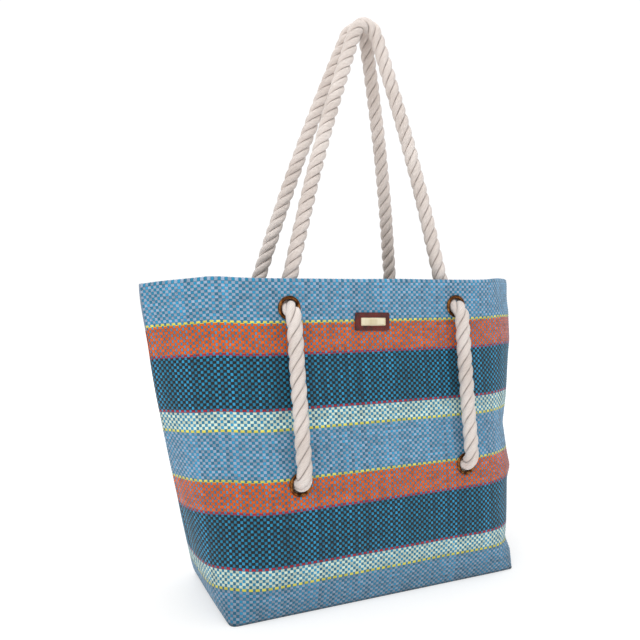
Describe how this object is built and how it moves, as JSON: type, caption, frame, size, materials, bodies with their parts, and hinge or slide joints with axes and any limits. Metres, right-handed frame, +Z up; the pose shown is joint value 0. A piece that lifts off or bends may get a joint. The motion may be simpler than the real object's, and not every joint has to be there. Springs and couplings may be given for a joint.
{
  "type": "beach bag",
  "caption": "Striped woven straw beach tote with an open mouth, a flat boxed base, brass grommets and two thick twisted rope handles.",
  "frame": {"origin": "middle of the underside of the base, where the bag stands", "axes": "+Z up, the front panel with the label faces -Y, the bag's left side is at -X as seen from the front"},
  "size_m": [0.5095, 0.2353, 0.6923],
  "materials": {
    "straw": "woven, matt to satin, striped",
    "lining": "plain woven, matt",
    "board": "matt",
    "brass": "antique, satin",
    "rope": "three-strand twisted, matt",
    "leather": "semi-matt",
    "gilt": "brushed pale gilt"
  },
  "bodies": {
    "bag": {"front_panel": "straw", "front_lining": "lining", "front_rim_facing": "straw", "front_left_rope": "rope", "front_left_knot": "rope", "front_right_rope": "rope", "front_right_knot": "rope", "back_panel": "straw", "back_lining": "lining", "back_rim_facing": "straw", "back_left_rope": "rope", "back_left_knot": "rope", "back_right_rope": "rope", "back_right_knot": "rope", "front_upper_left_grommet": "brass", "front_upper_left_washer": "brass", "front_upper_right_grommet": "brass", "front_upper_right_washer": "brass", "front_lower_left_grommet": "brass", "front_lower_left_washer": "brass", "front_lower_right_grommet": "brass", "front_lower_right_washer": "brass", "back_upper_left_grommet": "brass", "back_upper_left_washer": "brass", "back_upper_right_grommet": "brass", "back_upper_right_washer": "brass", "back_lower_left_grommet": "brass", "back_lower_left_washer": "brass", "back_lower_right_grommet": "brass", "back_lower_right_washer": "brass", "base_panel": "straw", "base_board": "board", "base_lining": "lining", "label_patch": "leather", "label_plate": "gilt"},
    "front_handle": {"front_handle": "rope"},
    "back_handle": {"back_handle": "rope"}
  },
  "joints": [
    {"name": "front_handle_fold", "type": "hinge", "parent": "bag", "child": "front_handle", "pos_m": [-0.01494, -0.0863, 0.37027], "axis": [1, 0, 0], "range_deg": [0, 140]},
    {"name": "back_handle_fold", "type": "hinge", "parent": "bag", "child": "back_handle", "pos_m": [-0.01467, 0.05444, 0.36844], "axis": [-0.9958, -0.0913, -0.0105], "range_deg": [0, 135]}
  ]
}
